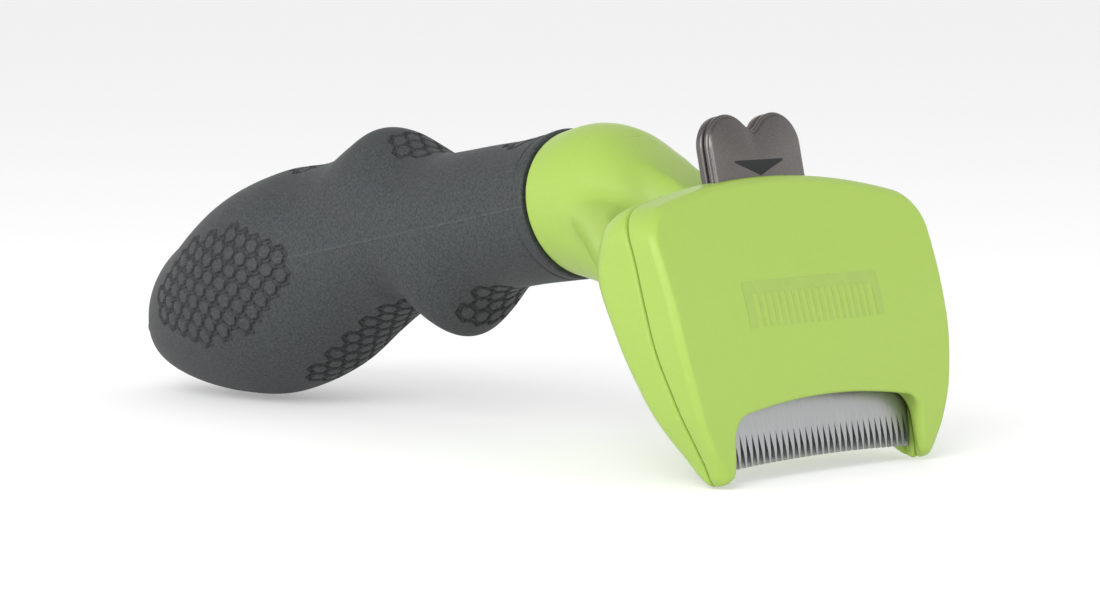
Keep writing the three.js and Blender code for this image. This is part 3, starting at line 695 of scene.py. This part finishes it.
def stacked(name, stack, outline, centre, material):
    """A plate from outlines at several depths, closed by fans round a centre."""
    points, faces = [], []
    rings = [[(x, v, u) for x, u in outline(inset)] for v, inset in stack]
    for low, high in zip(rings, rings[1:]):
        for a in range(len(low)):
            b = (a + 1) % len(low)
            for corners in ((low[a], low[b], high[b]), (low[a], high[b], high[a])):
                faces.append(range(len(points), len(points) + 3))
                points.extend(corners)
    for ring, (v, _), order in ((rings[0], stack[0], -1), (rings[-1], stack[-1], 1)):
        for a in range(len(ring)):
            corners = (ring[a], ring[(a + 1) % len(ring)], (centre[0], v, centre[1]))
            faces.append(range(len(points), len(points) + 3))
            points.extend(corners[::order])
    return welded_piece(name, leaned(points), faces, material, 24)


def arrow_outline(inset):
    """The printed arrow: a wide, low triangle that points down, with slightly hollow sides."""
    wide, top, tip = 5.6 - inset, 51.5, 48.9
    return [(-wide, top - inset), (-wide, top - 0.35), (-2.6, 50), (0, tip + inset), (2.6, 50),
            (wide, top - 0.35), (wide, top - inset)]


# ------------------------------------------------------------------ springs

SPRING_X, SPRING_V, COIL_RADIUS, WIRE_RADIUS = 14.0, 5.9, 1.6, 0.35
SPRING_FOOT, SPRING_TOP, SPRING_TURNS = 19.75, 30.95, 6


def spring(side, name, material):
    """A coil spring along the leaned plane, as a helical tube with closed ends."""
    steps, sides = 28 * SPRING_TURNS, 10
    turn = np.linspace(0, 2 * math.pi * SPRING_TURNS, steps + 1)[:, None]
    low, high = SPRING_FOOT + WIRE_RADIUS, SPRING_TOP - WIRE_RADIUS
    around = np.linspace(0, 2 * math.pi, sides, endpoint=False)[None, :]
    radius = COIL_RADIUS + WIRE_RADIUS * np.cos(around)
    x = side * SPRING_X + radius * np.cos(turn)
    v = SPRING_V + radius * np.sin(turn)
    u = low + (high - low) * turn / turn[-1] + WIRE_RADIUS * np.sin(around)
    points = np.stack([x, v, u], -1)
    ends = np.stack([points[:1].mean(1, keepdims=True) + 0 * points[:1],
                     points[-1:].mean(1, keepdims=True) + 0 * points[:1]])
    points = np.concatenate([ends[0], points, ends[1]])
    index = np.arange(points.shape[0] * sides).reshape(-1, sides)
    ahead = np.roll(index, -1, axis=1)
    faces = np.stack([index[:-1], ahead[:-1], ahead[1:], index[1:]], -1).reshape(-1, 4)
    return mesh_piece(name, leaned(points.reshape(-1, 3)), faces, material)


# ------------------------------------------------------------------ printed mark

def mark(material):
    """A plain comb printed on the front: a long back and a row of short teeth, laid on the curved face."""
    thickness = 0.03
    points, faces = [], []

    def patch(x0, x1, z0, z1):
        cuts_x = np.linspace(x0, x1, max(2, int((x1 - x0) / 1.5) + 1))
        cuts_z = np.linspace(z0, z1, max(2, int((z1 - z0) / 1.0) + 1))
        for a, b in zip(cuts_x, cuts_x[1:]):
            for c, d in zip(cuts_z, cuts_z[1:]):
                faces.append(range(len(points), len(points) + 4))
                for x, z in ((a, c), (b, c), (b, d), (a, d)):
                    reach = FRONT_RADIUS + thickness
                    points.append((x, FRONT_Y + FRONT_RADIUS - math.sqrt(reach ** 2 - z * z), z))

    patch(-MARK_HALF, MARK_HALF, MARK_Z, MARK_Z + MARK_BACK)
    patch(-MARK_HALF, -MARK_HALF + MARK_BACK, MARK_Z - MARK_TOOTH, MARK_Z)
    patch(MARK_HALF - MARK_BACK, MARK_HALF, MARK_Z - MARK_TOOTH, MARK_Z)
    span = 2 * (MARK_HALF - MARK_BACK)
    for k in range(1, MARK_TEETH + 1):
        x = -MARK_HALF + MARK_BACK + span * k / (MARK_TEETH + 1)
        patch(x - MARK_STROKE / 2, x + MARK_STROKE / 2, MARK_Z - MARK_TOOTH, MARK_Z)
    return mesh_piece("comb_mark", points, [list(face) for face in faces], material)


# ------------------------------------------------------------------ materials

def new_material(name, roughness=0.5, metallic=0.0):
    material = bpy.data.materials.new(name)
    material.use_nodes = True
    nodes, links = material.node_tree.nodes, material.node_tree.links
    shader = nodes["Principled BSDF"]
    shader.inputs["Roughness"].default_value = roughness
    shader.inputs["Metallic"].default_value = metallic
    return material, nodes, links, shader


def noise(nodes, links, scale, detail=3.0, stretch=None):
    """A noise texture in object coordinates, in metres, optionally stretched."""
    place = nodes.new("ShaderNodeTexCoord")
    mapping = nodes.new("ShaderNodeMapping")
    texture = nodes.new("ShaderNodeTexNoise")
    if stretch:
        mapping.inputs["Scale"].default_value = stretch
    texture.inputs["Scale"].default_value = scale
    texture.inputs["Detail"].default_value = detail
    links.new(place.outputs["Object"], mapping.inputs["Vector"])
    links.new(mapping.outputs["Vector"], texture.inputs["Vector"])
    return texture.outputs["Fac"]


def ramp(nodes, links, source, stops):
    """A colour ramp with (position, colour) stops."""
    node = nodes.new("ShaderNodeValToRGB")
    elements = node.color_ramp.elements
    while len(elements) < len(stops):
        elements.new(0.5)
    for element, (position, colour) in zip(elements, stops):
        element.position = position
        element.color = (*colour, 1)
    links.new(source, node.inputs["Fac"])
    return node.outputs["Color"]


def bump(nodes, links, source, strength, distance):
    node = nodes.new("ShaderNodeBump")
    node.inputs["Strength"].default_value = strength
    node.inputs["Distance"].default_value = distance
    links.new(source, node.inputs["Height"])
    return node.outputs["Normal"]


def grained(name, dark, light, roughness, metallic, scale, depth, stretch=None, contrast=0.15):
    """A material whose colour and surface vary with one fine noise."""
    material, nodes, links, shader = new_material(name, roughness, metallic)
    grain = noise(nodes, links, scale, 3, stretch)
    colour = ramp(nodes, links, grain, [(0.5 - contrast, dark), (0.5 + contrast, light)])
    links.new(colour, shader.inputs["Base Color"])
    links.new(bump(nodes, links, grain, 0.5, depth), shader.inputs["Normal"])
    return material


def green_plastic():
    material = grained("green_plastic", (0.292, 0.423, 0.072), (0.298, 0.432, 0.074), 0.38, 0, 1400, 0.000004)
    material.node_tree.nodes["Principled BSDF"].inputs["Specular IOR Level"].default_value = 0.36
    return material


def rubber():
    """Fine-grained rubber, with painted shade in the corners of the pattern and a painted highlight on the
    mould line.
    """
    material, nodes, links, shader = new_material("grip_rubber", 0.62)
    shader.inputs["Specular IOR Level"].default_value = 0.3
    grain = noise(nodes, links, 2400, 3)
    base = ramp(nodes, links, grain, [(0.36, (0.027, 0.031, 0.032)), (0.64, (0.05, 0.055, 0.057))])
    # Painted shade and highlight: the point attribute scales the rubber's colour down to under half on the
    # channel walls and up on the mould line.
    painted_shading = nodes.new("ShaderNodeAttribute")
    painted_shading.attribute_name = "painted_shading"
    shade = ramp(nodes, links, painted_shading.outputs["Fac"], [(0, (0.22,) * 3), (0.5, (0.5,) * 3), (1, (1.0,) * 3)])
    mix = nodes.new("ShaderNodeMix")
    mix.data_type = "RGBA"
    mix.blend_type = "MULTIPLY"
    mix.inputs["Factor"].default_value = 1
    links.new(base, mix.inputs["A"])
    links.new(shade, mix.inputs["B"])
    double = nodes.new("ShaderNodeVectorMath")
    double.operation = "SCALE"
    double.inputs["Scale"].default_value = 2
    links.new(mix.outputs["Result"], double.inputs[0])
    links.new(double.outputs["Vector"], shader.inputs["Base Color"])
    links.new(bump(nodes, links, grain, 0.5, 0.0001), shader.inputs["Normal"])
    return material


def brushed_steel():
    return grained("brushed_steel", (0.33, 0.335, 0.34), (0.39, 0.395, 0.4), 0.36, 1, 5000, 0.000004,
                   (1, 0.04, 0.04), 0.2)


def gunmetal():
    return grained("gunmetal", (0.115, 0.107, 0.103), (0.145, 0.136, 0.13), 0.3, 0.95, 4200, 0.000012)


def black_plastic():
    return grained("black_plastic", (0.022, 0.023, 0.024), (0.03, 0.031, 0.032), 0.45, 0, 1500, 0.00002)


def zinc():
    return grained("zinc_fastener", (0.48, 0.48, 0.47), (0.6, 0.6, 0.58), 0.35, 1, 1800, 0.00001)


def spring_steel():
    return grained("spring_steel", (0.36, 0.36, 0.36), (0.46, 0.46, 0.46), 0.3, 1, 2500, 0.00001)


def print_ink(name, colour):
    material, nodes, links, shader = new_material(name, 0.6)
    shader.inputs["Specular IOR Level"].default_value = 0.2
    cloud = noise(nodes, links, 700, 2)
    links.new(ramp(nodes, links, cloud, [(0.3, colour), (0.7, [c * 1.05 for c in colour])]),
              shader.inputs["Base Color"])
    return material


# ------------------------------------------------------------------ stage

def camera():
    data = bpy.data.cameras.new("camera")
    data.lens = CAMERA_LENS
    data.sensor_width = 36
    item = bpy.data.objects.new("camera", data)
    level = math.cos(CAMERA_FALL)
    forward = Vector((math.sin(CAMERA_YAW) * level, math.cos(CAMERA_YAW) * level, -math.sin(CAMERA_FALL)))
    target = Vector(in_frame(CAMERA_TARGET))
    item.location = target - forward * CAMERA_DISTANCE * MM
    item.rotation_mode = "QUATERNION"
    item.rotation_quaternion = forward.to_track_quat("-Z", "Y")
    data.clip_start, data.clip_end = 0.01, 50
    bpy.context.scene.collection.objects.link(item)
    bpy.context.scene.camera = item


def softbox(name, place, aim, size, watts):
    data = bpy.data.lights.new(name, "AREA")
    data.shape = "RECTANGLE"
    data.size, data.size_y = size
    data.energy = watts
    item = bpy.data.objects.new(name, data)
    item.location = place
    item.rotation_mode = "QUATERNION"
    item.rotation_quaternion = (Vector(aim) - Vector(place)).to_track_quat("-Z", "Y")
    bpy.context.scene.collection.objects.link(item)


def studio():
    """A pale floor under a dome that is brightest near the horizon, and three soft lights."""
    world = bpy.data.worlds.new("studio")
    world.use_nodes = True
    nodes, links = world.node_tree.nodes, world.node_tree.links
    direction = nodes.new("ShaderNodeTexCoord")
    height = nodes.new("ShaderNodeSeparateXYZ")
    links.new(direction.outputs["Generated"], height.inputs["Vector"])
    stops = [(0.1, (1, 1, 1)), (0.5, (0.6, 0.6, 0.6)), (1, (0.45, 0.45, 0.45))]
    sky = ramp(nodes, links, height.outputs["Z"], stops)
    links.new(sky, nodes["Background"].inputs["Color"])
    nodes["Background"].inputs["Strength"].default_value = 1.35
    bpy.context.scene.world = world
    bpy.context.scene.view_settings.view_transform = "Standard"
    material, nodes, links, shader = new_material("pale_floor", 0.9)
    shader.inputs["Base Color"].default_value = (0.72, 0.72, 0.72, 1)
    shader.inputs["Emission Color"].default_value = (1, 1, 1, 1)
    shader.inputs["Emission Strength"].default_value = 0.28
    mesh = bpy.data.meshes.new("floor")
    reach = 12.0
    mesh.from_pydata([(-reach, -reach, -0.0002), (reach, -reach, -0.0002), (reach, reach, -0.0002),
                      (-reach, reach, -0.0002)], [], [(0, 1, 2, 3)])
    mesh.materials.append(material)
    floor = bpy.data.objects.new("floor", mesh)
    bpy.context.scene.collection.objects.link(floor)
    softbox("key", (-0.75, -0.45, 0.6), (0, -0.02, 0.03), (0.6, 0.6), 5.5)
    softbox("left", (-1.0, 0.1, 0.3), (0, -0.05, 0.03), (0.35, 0.6), 3.0)
    softbox("front", (0.06, -1.1, 0.3), (0, -0.05, 0.03), (0.35, 0.6), 2.0)


# ------------------------------------------------------------------ assembly

def place(piece, body, slot, *nodes):
    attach(piece, body)
    if nodes:
        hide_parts(*nodes)


camera()
studio()
green, steel, metal, fastener = green_plastic(), brushed_steel(), gunmetal(), zinc()
plastic, coil = black_plastic(), spring_steel()

place(front_cover(green), "tool_body", "green_plastic", "front_cover")
place(rear_housing(green), "tool_body", "green_plastic", "rear_housing")
place(grip(rubber()), "tool_body", "rubber_grip", "grip_overmould")
place(blade(steel), "tool_body", "blade_steel", "blade")
place(mark(print_ink("olive_print", (0.28, 0.392, 0.09))), "tool_body", "green_plastic")
place(stacked("button_front", FACE_STACK, button_outline, (0, 50), metal), "ejector", "gunmetal_button",
      "ejector_button_face")
place(stacked("button_rear", BACK_STACK, button_outline, (0, 50), metal), "ejector", "gunmetal_button",
      "ejector_button_back")
place(stacked("button_arrow", [(3.21, 0), (3.17, 0)], arrow_outline, (0, 49.6),
              print_ink("dark_print", (0.02, 0.02, 0.021))), "ejector", "gunmetal_button")

for side, name in ((-1, "left"), (1, "right")):
    piece = spring(side, f"return_coil_{name}", coil)
    place(piece, "tool_body", "spring_steel", f"return_spring_{name}")
    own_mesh(piece)

SLOT_MATERIALS = {"green_plastic": green, "black_plastic": plastic, "blade_steel": steel,
                  "gunmetal_button": metal, "fastener_steel": fastener, "spring_steel": coil,
                  "rubber_grip": plastic}
for part in frame["record"]["subparts"]:
    mesh = frame["nodes"][part["node"]].data
    mesh.materials.clear()
    mesh.materials.append(SLOT_MATERIALS[part["material_slot"]])
